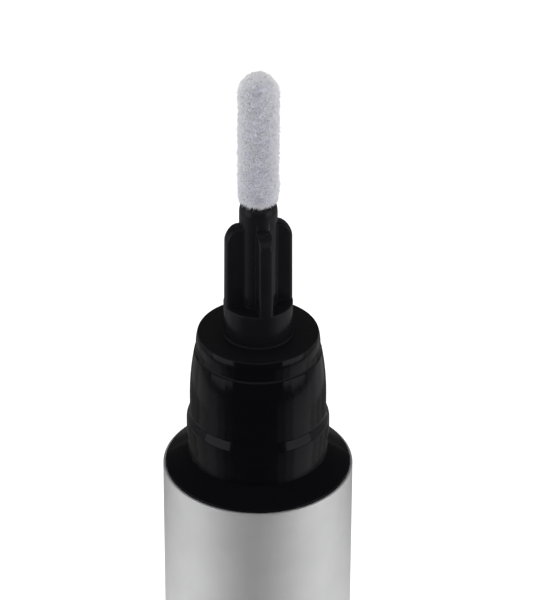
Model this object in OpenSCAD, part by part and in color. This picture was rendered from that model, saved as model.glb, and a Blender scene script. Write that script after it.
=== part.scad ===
// Twist-dispensing lens cleaning pen, standing on its knob with the flocked tip up.
// Millimetres. The pen's axis is Z, and its flat base is at z = 0.

/* [Metal tubes] */
// Outside diameter of the barrel and of the knob
barrel_d = 12; // [11.4:0.1:13.5]
// Wall of the barrel tube and of the knob shell
barrel_wall = 0.5; // [0.35:0.05:0.6]
// Break on the open edges of the metal tubes
tube_break = 0.12; // [0.05:0.01:0.2]

/* [Knob] */
// Length of the knob
knob_l = 14; // [11:0.5:18]
// Thickness of the knob shell's closed end
knob_floor = 0.5; // [0.35:0.05:0.8]
// Radius around the knob's closed end
knob_edge_r = 0.8; // [0.65:0.05:1.2]
// Thickness of the knob core under the drive tube
core_floor = 2; // [1:0.25:4]
// Gap between the knob and the barrel
parting_gap = 0.4; // [0.35:0.05:0.8]
// Thickness of the washer in that gap
glide_washer_t = 0.3; // [0.2:0.05:0.3]

/* [Screw drive] */
// Travel of the piston
stroke = 30; // [20:1:36]
// Travel of the screw in one turn of the knob
lead = 3; // [2.4:0.1:4]
// Diameter over the screw's crests
screw_d = 3.9; // [3.4:0.1:4.2]
// Depth of the screw's thread
thread_depth = 0.7; // [0.4:0.05:0.8]
// Width of the screw across its two flats
screw_flat_w = 2.9; // [2.6:0.1:3.2]
// Gap between the screw and the nut's thread
thread_gap = 0.12; // [0.1:0.01:0.16]
// Gap between the screw and its guide
guide_gap = 0.12; // [0.1:0.01:0.16]
// Room under the screw's lower end
screw_end_gap = 1; // [0.5:0.1:2]
// Length of screw left below the nut at the end of the travel
screw_tail = 0.5; // [0.2:0.1:2]
// Length of the nut's hexagon
nut_hex_l = 5.4; // [4:0.2:7]
// Thickness of the nut's round flange
nut_flange_t = 1.6; // [1:0.1:2.4]
// Thinnest wall between the nut's thread and its hexagon
nut_wall = 0.55; // [0.45:0.05:0.7]
// Thinnest wall of the drive tube around the nut
tube_wall = 0.35; // [0.3:0.05:0.5]
// Step from the drive tube's journal to its upper stretch
tube_step = 0.2; // [0.15:0.05:0.3]
// Gap between the screw and the drive tube's bore
tube_bore_gap = 0.35; // [0.25:0.05:0.45]
// Length of the drive tube's flats in the knob core
key_l = 6; // [3:0.5:9]
// Depth of the drive tube's flats
key_depth = 0.35; // [0.2:0.05:0.5]

/* [Bearings and click ring] */
// Length of the rear bush's bearing
bush_l = 7.8; // [5:0.2:12]
// Thickness of the snap ring that holds the knob on
snap_ring_t = 0.7; // [0.5:0.05:1]
// Width of the snap ring
snap_ring_w = 1.1; // [0.9:0.05:1.3]
// Depth of the snap ring's groove
snap_groove_depth = 0.45; // [0.3:0.05:0.55]
// Opening of the snap ring
snap_ring_gap = 3.4; // [2:0.2:5]
// Number of click arms
click_arms = 3; // [2:1:4]
// Ratchet teeth from one click arm to the next
teeth_per_arm = 4; // [2:1:5]
// Angle that a click arm spans
arm_span = 70; // [45:1:80]
// Angle that a click arm's root spans
arm_root_span = 9; // [5:1:14]
// Angle that a click arm's pawl spans
pawl_span = 6; // [4:0.5:8]
// Angle that the steep side of a ratchet tooth spans
steep_span = 2; // [1:0.5:3]
// Gap between a pawl and the tooth that it rests on
pawl_gap = 0.06; // [0.04:0.01:0.1]
// Gap between a click arm and the tips of the teeth
arm_gap = 0.12; // [0.08:0.01:0.16]
// Height of the ratchet ring
ratchet_h = 2.4; // [1.6:0.2:4]
// Depth of a ratchet tooth
tooth_depth = 0.35; // [0.2:0.05:0.4]
// Wall of the ratchet ring behind the teeth
ratchet_wall = 0.45; // [0.3:0.05:0.5]
// Wall of the click ring's hub
click_hub_w = 0.4; // [0.3:0.05:0.45]
// Thickness of a click arm
click_arm_w = 0.3; // [0.2:0.02:0.34]
// Wall of the mechanism housing around the nut's flange
housing_wall = 0.6; // [0.5:0.05:1]
// Thickness of the thrust washer
thrust_washer_t = 0.4; // [0.25:0.05:0.8]
// Thickness of the screw guide's disc
guide_disc_t = 1.4; // [1:0.1:2.4]
// Length of the screw guide's spigot
guide_spigot_l = 1.2; // [0.8:0.1:2]

/* [Reservoir and piston] */
// Wall of the reservoir tube
reservoir_wall = 1.05; // [0.8:0.05:1.2]
// Length of the piston
piston_l = 7; // [6:0.25:9]
// Running gap between the piston and the reservoir
piston_gap = 0.05; // [0.03:0.01:0.08]
// Room behind the piston
piston_rear_gap = 0.4; // [0.2:0.1:1]
// Room left ahead of the piston at the end of its travel
piston_front_gap = 0.6; // [0.3:0.1:1.5]
// Taper on the piston's front edge
piston_taper = 0.6; // [0.3:0.05:0.9]
// Diameter of the screw's plain shank in the piston
shank_d = 2.4; // [2:0.1:2.5]
// Diameter of the screw's snap head
head_d = 3.2; // [2.9:0.1:3.6]
// Length of the screw's plain shank
shank_l = 2.2; // [1.6:0.1:2.8]
// Length of the screw's snap head
head_l = 1.6; // [1.2:0.1:2]
// Section diameter of the seal rings
seal_d = 0.8; // [0.6:0.05:0.9]

/* [Neck] */
// Length of the neck's plug in the reservoir
plug_l = 5; // [3.5:0.25:7]
// Length of the neck's collar in the barrel
collar_l = 3; // [2:0.25:6]
// Thickness of the neck's flange
flange_t = 0.4; // [0.3:0.05:0.8]
// Depth of the rebate that takes the flange in the barrel's mouth
flange_sink = 0.3; // [0.2:0.05:0.6]
// Wall of the barrel around the flange
flange_rim = 0.16; // [0.08:0.01:0.25]
// Draft of the flange's edge
flange_draft = 0.02; // [0.01:0.01:0.05]
// Radius on the flange's upper edge
flange_edge_r = 0.06; // [0.04:0.01:0.2]
// Rise of the shoulder from the flange's edge to the cap seat
shoulder_rise = 0.97; // [0.5:0.01:1.3]
// Height of the neck above the flange
neck_h = 9.6; // [9:0.05:11]
// Diameter of the neck's rim
neck_rim_d = 7.76; // [7.2:0.02:7.8]
// Diameter of the neck at the crease under its rim
neck_crease_d = 7.96; // [7.9:0.02:8.2]
// Diameter of the neck's bowed side at its widest
neck_side_d = 8.56; // [8.3:0.02:8.7]
// Diameter of the snap bead
bead_d = 8.98; // [8.9:0.02:9.2]
// Diameter of the cap seat below the bead
seat_d = 8.84; // [8.7:0.02:8.88]
// Height of the cap seat
seat_h = 1.35; // [0.9:0.05:1.8]
// Height of the step under the snap bead
bead_lower_h = 0.05; // [0.03:0.01:0.3]
// Height of the snap bead at its full diameter
bead_flat_h = 0.88; // [0.5:0.02:1.2]
// Height of the flank above the snap bead
bead_upper_h = 0.8; // [0.5:0.05:1.2]
// Height of the straight side above the bead
side_h = 0.85; // [0.3:0.05:1.2]
// Height of the rim
rim_h = 1.29; // [1.05:0.01:1.5]
// How far the rim's rounding runs in at the top
rim_round_w = 0.18; // [0.08:0.01:0.25]
// How far the rim's rounding runs down
rim_round_h = 1; // [0.6:0.05:1]
// Height of the flare between the rim and the crease
flare_h = 0.11; // [0.08:0.01:0.5]
// Ledge at the crease
crease_step = 0.02; // [0.01:0.01:0.05]
// Wall of the neck above the nozzle's flange
neck_top_wall = 1.5; // [1:0.1:2]

/* [Nozzle] */
// Diameter of the nozzle's plain base
nozzle_base_d = 4.3; // [4.1:0.05:4.8]
// Height of the plain base above the neck
nozzle_base_h = 2.25; // [1.5:0.05:3.5]
// Diameter over the fins
fin_d = 4.26; // [3.4:0.02:4.3]
// Draft of the fins on each side
fin_draft = 0.03; // [0:0.01:0.1]
// Thickness of a fin
fin_t = 0.9; // [0.4:0.05:1.1]
// Height of the fins
fin_h = 5.55; // [4:0.05:6.5]
// Radius on a fin's top corner
fin_corner_r = 1.1; // [0.3:0.05:1.3]
// Turn of the fins about the pen's axis
fin_turn = 15; // [0:1:45]
// Diameter of the nozzle's centre tube
tip_tube_d = 2.36; // [2.1:0.02:2.6]
// Height of the centre tube above the fins
tip_tube_over = 1.7; // [0.5:0.1:2.5]
// Radius on the centre tube's top edge
tip_tube_edge_r = 0.3; // [0.1:0.05:0.3]
// How far the nozzle's hidden flange stands out
nozzle_lip = 0.5; // [0.3:0.05:0.6]
// Thickness of the nozzle's hidden flange
nozzle_lip_t = 1.2; // [0.8:0.1:2]
// Diameter of the nozzle's feed channel
feed_d = 0.9; // [0.6:0.05:1.2]
// Thickness of the ring that holds the nozzle in
retainer_t = 2.5; // [1.5:0.1:4]

/* [Flocked tip] */
// Diameter of the tip over its fibres
tip_d = 2.55; // [2.3:0.05:3]
// Length of the flocked tip
tip_l = 8.5; // [6:0.1:10]
// Thickness of the flock coat
flock_t = 0.28; // [0.2:0.02:0.4]
// Diameter of the tip core's stem
stem_d = 1.46; // [1.2:0.02:1.5]
// Length of the tip core's stem
stem_l = 5.8; // [4:0.1:7.5]
// Diameter of the tip core's feed channel
core_feed_d = 0.6; // [0.4:0.05:0.8]
// Diameter of the tip core's outlet holes
outlet_d = 0.5; // [0.3:0.05:0.7]

/* [Fits] */
// Radial gap between pieces that are pressed or bonded together
fit_gap = 0.02; // [0.01:0.01:0.03]
// Radial gap between pieces that turn on each other
run_gap = 0.06; // [0.03:0.01:0.09]
// Axial play between pieces that turn on each other
play = 0.1; // [0.05:0.01:0.15]
// Radial room around pieces that pass through without touching
pass_gap = 0.4; // [0.3:0.05:0.5]

/* [Hidden] */

$fn = 96;
// Overlap of a cutting shape past the face it cuts
cut = 0.5;
// Steps in a rounded corner, and in a longer curve
corner_steps = 6;
curve_steps = 12;

// Radii of the metal tubes
barrel_r = barrel_d / 2;
bore_r = barrel_r - barrel_wall;
rebate_r = barrel_r - flange_rim;
// Outside radius of everything that sits in the metal tubes
seat_r = bore_r - fit_gap;

// Radii of the screw drive, from the screw outwards
crest_r = screw_d / 2;
thread_amp = thread_depth / 2;
thread_mid_r = crest_r - thread_amp;
screw_flat = screw_flat_w / 2;
nut_bore_r = crest_r + thread_gap;
nut_flat = nut_bore_r + nut_wall;
nut_corner_r = nut_flat / cos(30);
tube_top_r = nut_corner_r + fit_gap + tube_wall;
tube_top_flat = nut_flat + fit_gap + tube_wall;
tube_r = tube_top_r + tube_step;
tube_flat = tube_r - key_depth;
tube_bore_r = crest_r + tube_bore_gap;
snap_groove_r = tube_r - snap_groove_depth;
snap_ring_r = snap_groove_r + fit_gap + snap_ring_w;
nut_flange_r = seat_r - housing_wall - run_gap;

// Levels of the knob and of the screw drive, from the base upwards
tube_z0 = knob_floor + core_floor;
screw_z0 = tube_z0 + screw_end_gap;
barrel_z0 = knob_l + parting_gap;
bush_z1 = barrel_z0 + bush_l;
snap_groove_z1 = bush_z1 + snap_ring_t + 2 * play;
bush_rim_z1 = snap_groove_z1 + play;
ratchet_z1 = bush_rim_z1 + ratchet_h;
nut_z0 = screw_z0 + stroke + screw_tail;
nut_flange_z0 = nut_z0 + nut_hex_l;
nut_z1 = nut_flange_z0 + nut_flange_t;
ledge_z = nut_flange_z0 - thrust_washer_t - play;
tube_z1 = ledge_z - play;
guide_z0 = nut_z1 + play;
reservoir_z0 = guide_z0 + guide_disc_t;
guide_z1 = reservoir_z0 + guide_spigot_l;

// Levels of the piston, from the screw guide upwards
reservoir_bore_r = seat_r - reservoir_wall;
piston_r = reservoir_bore_r - piston_gap;
piston_z0 = guide_z1 + piston_rear_gap;
piston_z1 = piston_z0 + piston_l;
piston_seal_z = (piston_z0 + piston_z1) / 2;
thread_z1 = piston_z0 - play;
shank_z1 = piston_z0 + shank_l;
head_z1 = shank_z1 + head_l;

// Levels of the neck, the nozzle and the tip
plug_r = reservoir_bore_r - fit_gap;
plug_z0 = piston_z1 + stroke + piston_front_gap;
reservoir_z1 = plug_z0 + plug_l;
plug_seal_z = plug_z0 + plug_l / 2;
flange_z0 = reservoir_z1 + collar_l;
barrel_z1 = flange_z0 + flange_sink;
shoulder_z = flange_z0 + flange_t;
neck_top_z = shoulder_z + neck_h;
crease_z = neck_top_z - rim_h - flare_h;
seat_z0 = shoulder_z + shoulder_rise;
bead_z0 = seat_z0 + seat_h;
bead_flat_z0 = bead_z0 + bead_lower_h;
bead_flat_z1 = bead_flat_z0 + bead_flat_h;
bead_z1 = bead_flat_z1 + bead_upper_h;
nozzle_r = nozzle_base_d / 2;
nozzle_lip_r = nozzle_r + nozzle_lip;
neck_cavity_r = nozzle_lip_r + fit_gap;
nozzle_lip_z1 = neck_top_z - neck_top_wall;
nozzle_z0 = nozzle_lip_z1 - nozzle_lip_t;
fin_z0 = neck_top_z + nozzle_base_h;
fin_z1 = fin_z0 + fin_h;
tip_tube_r = tip_tube_d / 2;
tip_z0 = fin_z1 + tip_tube_over;
tip_z1 = tip_z0 + tip_l;
tip_r = tip_d / 2;
tip_core_r = tip_r - flock_t;
stem_r = stem_d / 2;
stem_z0 = tip_z0 - stem_l;
outlet_z = tip_z0 + tip_l / 2;

// Radii and angles of the ratchet
tooth_root_r = seat_r - ratchet_wall;
tooth_tip_r = tooth_root_r - tooth_depth;
arm_pitch = 360 / click_arms;
tooth_pitch = arm_pitch / teeth_per_arm;
tooth_ramp = tooth_pitch - steep_span;

// Facets of the screw thread
thread_sides = 16;
rings_per_turn = 12;

// Points along an arc about a centre in the radius and height plane
function arc(centre, r, from, to, steps = corner_steps) = [
  for (i = [0:steps])
    let (a = from + (to - from) * i / steps)
    centre + r * [cos(a), sin(a)]
];

// Points of a quarter oval about a centre, from its side to its top
function quarter_oval(centre, w, h, steps = curve_steps) = [
  for (i = [0:steps])
    let (a = 90 * i / steps)
    centre + [w * cos(a), h * sin(a)]
];

// Points of a smooth ramp between two places in the radius and height plane
function ramp(start, end, steps = corner_steps) = [
  for (i = [0:steps])
    let (t = i / steps, s = (1 - cos(180 * t)) / 2)
    [start[0] + (end[0] - start[0]) * s, start[1] + (end[1] - start[1]) * t]
];

// Points of a bowed side that is upright at its start and leans in towards its end
function bow(start, end, steps = curve_steps) =
  let (dr = start[0] - end[0], dz = end[1] - start[1], r = (dr * dr + dz * dz) / (2 * dr))
  arc([start[0] - r, start[1]], r, 0, asin(dz / r), steps);

module turned(points) {
  rotate_extrude() polygon(points);
}

module ring(r_out, r_in, z0, z1) {
  turned([[r_in, z0], [r_out, z0], [r_out, z1], [r_in, z1]]);
}

module rod(r, z0, z1) {
  translate([0, 0, z0]) cylinder(r = r, h = z1 - z0);
}

// Round rod with two flats that face along Y
module flatted_rod(r, flat, z0, z1) {
  intersection() {
    rod(r, z0, z1);
    translate([-2 * r, -flat, z0]) cube([4 * r, 2 * flat, z1 - z0]);
  }
}

// Ring of round section that fills a groove
module seal_ring(r_out, z) {
  r = seal_d / 2 - fit_gap;
  rotate_extrude() translate([r_out - fit_gap - r, z]) circle(r = r);
}

// Flat sector of a ring
module sector(r_in, r_out, from, to) {
  far = 2 * r_out;
  middle = (from + to) / 2;
  intersection() {
    difference() {
      circle(r = r_out);
      circle(r = r_in);
    }
    polygon(concat([[0, 0]], [for (a = [from, middle, to]) far * [cos(a), sin(a)]]));
  }
}

// One ring of points of the left-hand thread, cut back to the flats where there are any
function thread_ring(z, gap, flat) = [
  for (i = [0:thread_sides - 1])
    let (a = 360 * i / thread_sides, r = thread_mid_r + thread_amp * cos(a + 360 * z / lead) + gap)
    [r * cos(a), max(-flat, min(flat, r * sin(a))), z]
];

function round_ring(z, r) = [
  for (i = [0:thread_sides - 1])
    let (a = 360 * i / thread_sides)
    [r * cos(a), r * sin(a), z]
];

function thread_rings(z0, z1, gap, flat) =
  let (n = ceil((z1 - z0) / lead * rings_per_turn))
  [for (i = [0:n]) thread_ring(z0 + (z1 - z0) * i / n, gap, flat)];

// Closed solid through a stack of rings
module skin(rings) {
  n = thread_sides;
  last = len(rings) - 1;
  points = [for (r = rings) for (p = r) p];
  sides = [
    for (k = [0:last - 1])
      for (i = [0:n - 1])
        let (a = k * n + i, b = k * n + (i + 1) % n)
        each [[a, a + n, b], [b, a + n, b + n]]
  ];
  ends = [[for (i = [0:n - 1]) i], [for (i = [n - 1:-1:0]) last * n + i]];
  polyhedron(points, concat(sides, ends));
}

// Satin aluminium barrel tube, with a rebate for the neck's flange in its mouth
module barrel() {
  mouth_break = flange_rim / 2;
  color("silver")
    turned([
      [bore_r, barrel_z0],
      [barrel_r - tube_break, barrel_z0],
      [barrel_r, barrel_z0 + tube_break],
      [barrel_r, barrel_z1 - mouth_break],
      [barrel_r - mouth_break, barrel_z1],
      [rebate_r, barrel_z1],
      [rebate_r, flange_z0],
      [bore_r, flange_z0]
    ]);
}

// Black neck: plug in the reservoir, collar in the barrel, flange, sloping shoulder, cap seat, snap bead,
// bowed side and rounded rim
module neck() {
  groove_r = plug_r - seal_d;
  groove = seal_d / 2;
  flange_r = rebate_r - fit_gap;
  seat = seat_d / 2;
  bead = bead_d / 2;
  side = neck_side_d / 2;
  crease = neck_crease_d / 2;
  rim = neck_rim_d / 2;
  slope = atan2(shoulder_rise, flange_r - seat);
  color("#161616")
    turned(concat(
      [
        [neck_cavity_r, plug_z0],
        [plug_r, plug_z0],
        [plug_r, plug_seal_z - groove],
        [groove_r, plug_seal_z - groove],
        [groove_r, plug_seal_z + groove],
        [plug_r, plug_seal_z + groove],
        [plug_r, reservoir_z1],
        [seat_r, reservoir_z1],
        [seat_r, flange_z0],
        [flange_r - flange_draft, flange_z0]
      ],
      arc([flange_r - flange_edge_r, shoulder_z - flange_edge_r], flange_edge_r, 0, 90 - slope),
      [[seat, seat_z0], [seat, bead_z0], [bead, bead_flat_z0]],
      ramp([bead, bead_flat_z1], [side, bead_z1]),
      bow([side, bead_z1 + side_h], [crease, crease_z]),
      [[crease - crease_step, crease_z], [rim, neck_top_z - rim_h]],
      quarter_oval([rim - rim_round_w, neck_top_z - rim_round_h], rim_round_w, rim_round_h),
      [
        [nozzle_r + fit_gap, neck_top_z],
        [nozzle_r + fit_gap, nozzle_lip_z1],
        [neck_cavity_r, nozzle_lip_z1]
      ]
    ));
}

// Four fins inside a drafted, round-cornered envelope
module fins() {
  top_r = fin_d / 2 - fin_draft;
  intersection() {
    turned(concat(
      [[0, fin_z0], [fin_d / 2, fin_z0]],
      arc([top_r - fin_corner_r, fin_z1 - fin_corner_r], fin_corner_r, 0, 90),
      [[0, fin_z1]]
    ));
    for (i = [0:1])
      rotate(fin_turn + 90 * i)
        translate([-fin_t / 2, -fin_d / 2, fin_z0])
          cube([fin_t, fin_d, fin_h]);
  }
}

// Black nozzle: hidden flange, plain base, four fins and the tube that holds the tip
module nozzle() {
  edge = tip_tube_edge_r;
  color("#161616")
    difference() {
      union() {
        turned(concat(
          [
            [0, nozzle_z0],
            [nozzle_lip_r, nozzle_z0],
            [nozzle_lip_r, nozzle_lip_z1],
            [nozzle_r, nozzle_lip_z1],
            [nozzle_r, fin_z0],
            [tip_tube_r, fin_z0]
          ],
          arc([tip_tube_r - edge, tip_z0 - edge], edge, 0, 90),
          [[0, tip_z0]]
        ));
        fins();
      }
      rod(stem_r + fit_gap, stem_z0, tip_z0 + cut);
      rod(feed_d / 2, nozzle_z0 - cut, stem_z0 + cut);
    }
}

// Stiff core of the tip, with a feed channel that opens under the flock
module applicator_core() {
  color("gainsboro")
    difference() {
      turned(concat(
        [[0, stem_z0], [stem_r, stem_z0], [stem_r, tip_z0], [tip_core_r, tip_z0]],
        arc([0, tip_z1 - tip_r], tip_core_r, 0, 90, curve_steps)
      ));
      rod(core_feed_d / 2, stem_z0 - cut, outlet_z);
      for (i = [0:1])
        translate([0, 0, outlet_z])
          rotate([90, 0, 90 * i])
            cylinder(d = outlet_d, h = 2 * tip_r, center = true);
    }
}

// Soft flock coat over the core
module flock_coat() {
  color("lightsteelblue")
    turned(concat(
      [[tip_core_r + fit_gap, tip_z0], [tip_r, tip_z0]],
      arc([0, tip_z1 - tip_r], tip_r, 0, 90, curve_steps),
      arc([0, tip_z1 - tip_r], tip_core_r + fit_gap, 90, 0, curve_steps)
    ));
}

// Seal ring between the neck's plug and the reservoir
module neck_seal() {
  color("dimgray") seal_ring(plug_r, plug_seal_z);
}

// Ring pressed into the neck behind the nozzle's flange
module nozzle_retainer() {
  color("whitesmoke")
    ring(neck_cavity_r - fit_gap, nozzle_r - nozzle_lip, nozzle_z0 - retainer_t, nozzle_z0);
}

// Clear tube that holds the cleaning fluid
module reservoir() {
  color("lightcyan") ring(seat_r, reservoir_bore_r, reservoir_z0, reservoir_z1);
}

// Disc whose flatted hole lets the screw slide and stops it from turning
module screw_guide() {
  color("white")
    difference() {
      union() {
        rod(seat_r, guide_z0, reservoir_z0);
        rod(reservoir_bore_r - fit_gap, reservoir_z0, guide_z1);
      }
      flatted_rod(crest_r + guide_gap, screw_flat + guide_gap, guide_z0 - cut, guide_z1 + cut);
    }
}

// Sleeve that carries the nut's flange on a ledge
module mech_housing() {
  color("gray")
    turned([
      [tube_top_r + pass_gap, ratchet_z1],
      [seat_r, ratchet_z1],
      [seat_r, guide_z0],
      [seat_r - housing_wall, guide_z0],
      [seat_r - housing_wall, ledge_z],
      [tube_top_r + pass_gap, ledge_z]
    ]);
}

// Slippery washer between the ledge and the nut's flange, close around the nut's hexagon
module thrust_washer() {
  outer_r = seat_r - housing_wall - fit_gap;
  color("ivory")
    ring(outer_r, nut_corner_r + run_gap, ledge_z, ledge_z + thrust_washer_t);
}

// Ring of inward saw teeth
module ratchet_ring() {
  saw = [
    for (i = [0:click_arms * teeth_per_arm - 1])
      for (j = [0:corner_steps])
        let (t = j / corner_steps, a = i * tooth_pitch + t * tooth_ramp)
        (tooth_root_r - t * tooth_depth) * [cos(a), sin(a)]
  ];
  color("gray")
    translate([0, 0, bush_rim_z1])
      linear_extrude(ratchet_h)
        difference() {
          circle(r = seat_r);
          polygon(saw);
        }
}

// Bearing of the drive tube, with a rim around the snap ring
module rear_bush() {
  color("gray")
    turned([
      [tube_r + run_gap, barrel_z0],
      [seat_r, barrel_z0],
      [seat_r, bush_rim_z1],
      [snap_ring_r + run_gap, bush_rim_z1],
      [snap_ring_r + run_gap, bush_z1],
      [tube_r + run_gap, bush_z1]
    ]);
}

// Satin aluminium cup over the knob
module knob_shell() {
  inner_edge_r = knob_edge_r - barrel_wall;
  color("silver")
    turned(concat(
      [[0, 0]],
      arc([barrel_r - knob_edge_r, knob_edge_r], knob_edge_r, -90, 0),
      [[barrel_r, knob_l - tube_break], [barrel_r - tube_break, knob_l], [bore_r, knob_l]],
      arc([bore_r - inner_edge_r, knob_floor + inner_edge_r], inner_edge_r, 0, -90),
      [[0, knob_floor]]
    ));
}

// Plastic core of the knob, keyed to the drive tube
module knob_core() {
  edge = knob_edge_r - barrel_wall;
  key_z1 = tube_z0 + key_l;
  color("#2a2a2a")
    difference() {
      turned([
        [0, knob_floor],
        [seat_r - edge, knob_floor],
        [seat_r, knob_floor + edge],
        [seat_r, knob_l],
        [0, knob_l]
      ]);
      flatted_rod(tube_r + fit_gap, tube_flat + fit_gap, tube_z0, key_z1);
      rod(tube_r + fit_gap, key_z1, knob_l + cut);
    }
}

// Washer that shows as the dark line between the knob and the barrel
module glide_washer() {
  color("#161616") ring(bore_r, tube_r + run_gap, knob_l, knob_l + glide_washer_t);
}

// Tube that carries the turn of the knob up to the nut
module drive_tube() {
  step_z = snap_groove_z1 + play;
  color("whitesmoke")
    difference() {
      union() {
        flatted_rod(tube_r, tube_flat, tube_z0, tube_z0 + key_l);
        rod(tube_r, tube_z0 + key_l, step_z);
        flatted_rod(tube_top_r, tube_top_flat, step_z, tube_z1);
      }
      rod(tube_bore_r, tube_z0 - cut, tube_z1 + cut);
      translate([0, 0, nut_z0])
        cylinder(r = nut_corner_r + fit_gap, h = nut_hex_l + cut, $fn = 6);
      ring(tube_r + cut, snap_groove_r, bush_z1 + play, snap_groove_z1);
    }
}

// Nut with a hexagon that sits in the drive tube and a flange that runs in the housing
module drive_nut() {
  color("goldenrod")
    difference() {
      union() {
        translate([0, 0, nut_z0])
          cylinder(r = nut_corner_r, h = nut_hex_l, $fn = 6);
        rod(nut_flange_r, nut_flange_z0, nut_z1);
      }
      skin(thread_rings(nut_z0 - cut, nut_z1 + cut, thread_gap, nut_corner_r));
    }
}

// Springy ring whose arms click over the ratchet teeth
module click_ring() {
  hub_r = tube_top_r + fit_gap + click_hub_w;
  arm_r = tooth_tip_r - arm_gap;
  pawl_end = steep_span + pawl_span;
  pawl_r = tooth_root_r - tooth_depth * pawl_end / tooth_ramp - pawl_gap;
  color("orange")
    translate([0, 0, bush_rim_z1])
      linear_extrude(ratchet_h)
        difference() {
          union() {
            circle(r = hub_r);
            for (i = [0:click_arms - 1])
              rotate(arm_pitch * i) {
                sector(arm_r - click_arm_w, arm_r, steep_span, arm_span);
                sector(hub_r - click_hub_w, arm_r, arm_span - arm_root_span, arm_span);
                sector(arm_r - click_arm_w, pawl_r, steep_span, pawl_end);
              }
          }
          intersection() {
            circle(r = tube_top_r + fit_gap);
            square([4 * tube_top_r, 2 * (tube_top_flat + fit_gap)], center = true);
          }
        }
}

// Open ring in the drive tube's groove that holds the knob on
module snap_ring() {
  color("darkgray")
    translate([0, 0, bush_z1 + play])
      linear_extrude(snap_ring_t)
        difference() {
          circle(r = snap_ring_r);
          circle(r = snap_groove_r + fit_gap);
          translate([0, -snap_ring_gap / 2]) square([2 * snap_ring_r, snap_ring_gap]);
        }
}

// Screw with two flats and a snap head for the piston
module piston_screw() {
  shank_r = shank_d / 2;
  head_r = head_d / 2;
  color("white")
    skin(concat(
      thread_rings(screw_z0, thread_z1, 0, screw_flat),
      [
        round_ring(thread_z1 + play, shank_r),
        round_ring(shank_z1, shank_r),
        round_ring(shank_z1 + play, head_r),
        round_ring(head_z1 - head_l / 2, head_r),
        round_ring(head_z1, shank_r)
      ]
    ));
}

// Piston that snaps on the screw's head and carries a seal ring
module piston() {
  groove = seal_d / 2;
  color("lightgray")
    turned([
      [shank_d / 2 + fit_gap, piston_z0],
      [piston_r, piston_z0],
      [piston_r, piston_seal_z - groove],
      [piston_r - seal_d, piston_seal_z - groove],
      [piston_r - seal_d, piston_seal_z + groove],
      [piston_r, piston_seal_z + groove],
      [piston_r, piston_z1 - piston_taper],
      [piston_r - piston_taper, piston_z1],
      [0, piston_z1],
      [0, head_z1 + play],
      [head_d / 2 + fit_gap, head_z1 + play],
      [head_d / 2 + fit_gap, shank_z1],
      [shank_d / 2 + fit_gap, shank_z1]
    ]);
}

// Seal ring around the piston
module piston_seal() {
  color("dimgray") seal_ring(piston_r, piston_seal_z);
}

barrel();
neck();
nozzle();
applicator_core();
flock_coat();
neck_seal();
nozzle_retainer();
reservoir();
screw_guide();
mech_housing();
thrust_washer();
ratchet_ring();
rear_bush();
knob_shell();
knob_core();
glide_washer();
drive_tube();
drive_nut();
click_ring();
snap_ring();
piston_screw();
piston();
piston_seal();
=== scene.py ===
"""Looks of a twist-dispensing lens cleaning pen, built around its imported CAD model.

Sizes are in millimetres and are turned into metres where a mesh is made.
"""

import math

import bmesh
import bpy
import numpy as np
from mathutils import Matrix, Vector, noise


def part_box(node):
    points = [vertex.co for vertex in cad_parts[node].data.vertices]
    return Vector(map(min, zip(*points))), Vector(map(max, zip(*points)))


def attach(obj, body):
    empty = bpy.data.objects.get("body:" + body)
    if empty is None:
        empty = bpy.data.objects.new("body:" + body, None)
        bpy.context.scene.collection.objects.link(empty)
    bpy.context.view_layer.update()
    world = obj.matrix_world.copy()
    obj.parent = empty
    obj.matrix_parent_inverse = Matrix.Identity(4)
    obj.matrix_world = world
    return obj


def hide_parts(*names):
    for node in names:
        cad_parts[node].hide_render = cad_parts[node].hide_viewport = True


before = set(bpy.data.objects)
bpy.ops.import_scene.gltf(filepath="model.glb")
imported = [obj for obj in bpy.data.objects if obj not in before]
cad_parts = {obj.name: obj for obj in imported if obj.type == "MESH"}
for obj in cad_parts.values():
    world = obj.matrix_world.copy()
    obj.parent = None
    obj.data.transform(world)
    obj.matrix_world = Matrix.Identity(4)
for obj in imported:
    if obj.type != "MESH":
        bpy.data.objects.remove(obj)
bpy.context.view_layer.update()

MM = 0.001
TAU = 2 * math.pi


def box_mm(node):
    """Lowest and highest corner of a CAD node, in millimetres."""
    low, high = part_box(node)
    return low / MM, high / MM


# Sizes read from the frame
barrel_low, barrel_high = box_mm("barrel")
knob_low, knob_high = box_mm("knob_shell")
neck_low, neck_high = box_mm("neck")
nozzle_low, nozzle_high = box_mm("nozzle")
core_low, core_high = box_mm("applicator_core")
flock_low, flock_high = box_mm("flock_coat")
reservoir_high = box_mm("reservoir")[1]
seal_high = box_mm("neck_seal")[1]

BARREL_R = barrel_high.x
SEAT_R = reservoir_high.x
NECK_TOP_Z = neck_high.z
TIP_Z0 = flock_low.z
TIP_Z1 = flock_high.z
TIP_R = flock_high.x
DOME_Z = TIP_Z1 - TIP_R

# Fits and hidden sizes that the frame's boxes don't give
FIT = 0.02
TUBE_WALL = 0.5
TUBE_EDGE_R = 0.12
MOUTH_EDGE_R = 0.12
MOUTH_INNER_EDGE_R = 0.03
KNOB_EDGE_R = 0.8
PLUG_R = seal_high.x + FIT
PLUG_L = 5.0
PLUG_EDGE_R = 0.1
CAVITY_EDGE_R = 0.05
SEAL_GROOVE_HALF_H = 0.4
SEAL_GROOVE_DEPTH = 0.8

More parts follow.
